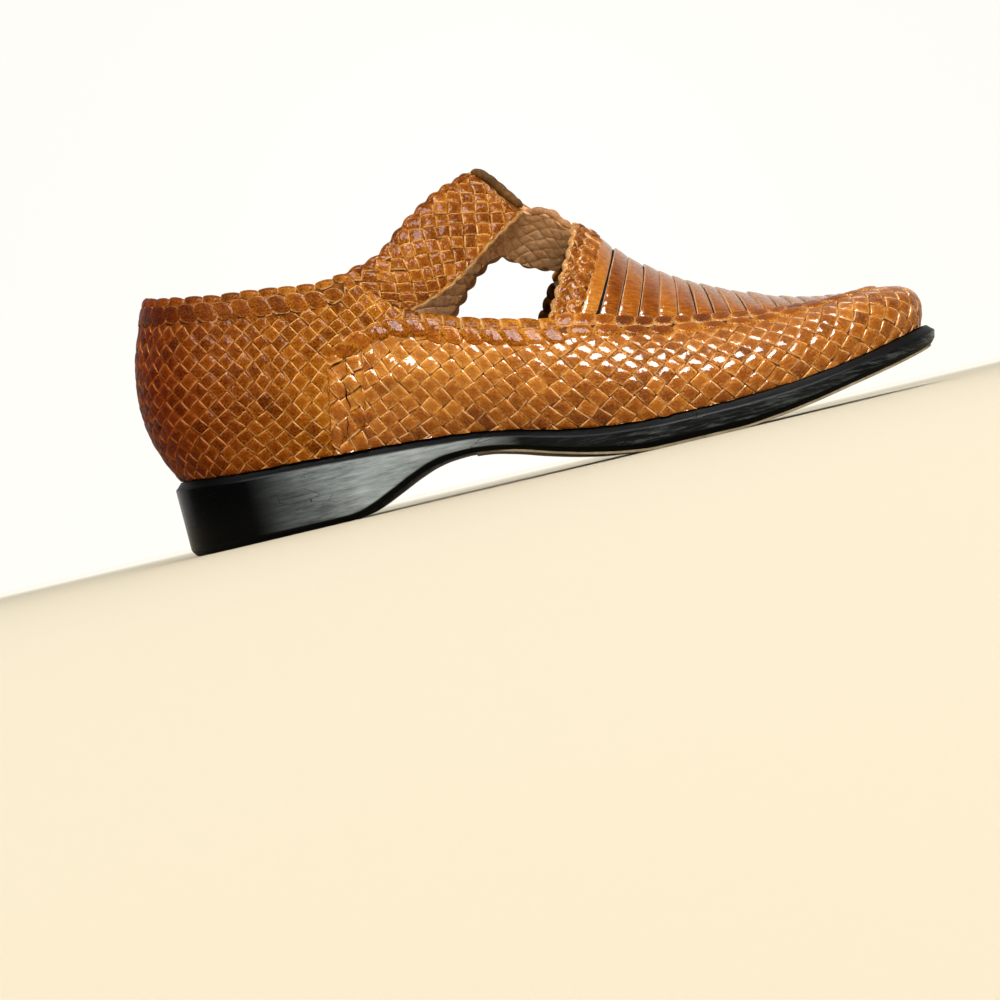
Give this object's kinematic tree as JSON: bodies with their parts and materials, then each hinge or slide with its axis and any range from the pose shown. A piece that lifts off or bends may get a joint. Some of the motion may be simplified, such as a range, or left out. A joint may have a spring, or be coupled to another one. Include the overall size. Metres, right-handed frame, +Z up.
{
  "type": "loafer",
  "caption": "Right loafer of woven leather strips with a slack T-strap over the instep, a slit plug and a black moulded sole with a low heel.",
  "frame": {"origin": "centre of the shoe's bounding box, on the floor that the shoe stands on", "axes": "+X towards the toe, +Y towards the inner side of the foot, +Z up"},
  "size_m": [0.273, 0.0888, 0.1075],
  "materials": {
    "woven_leather": "glossy aniline-dyed leather strips, woven over and under, with paler cut edges",
    "black_sole": "satin moulded rubber with fine scuffs",
    "tan_tread": "matte tan leather tread",
    "sock": "matte olive-brown lining leather"
  },
  "bodies": {
    "root": {"upper": "woven_leather", "sole_unit": "black_sole", "tread": "tan_tread", "insole": "sock"}
  },
  "joints": []
}
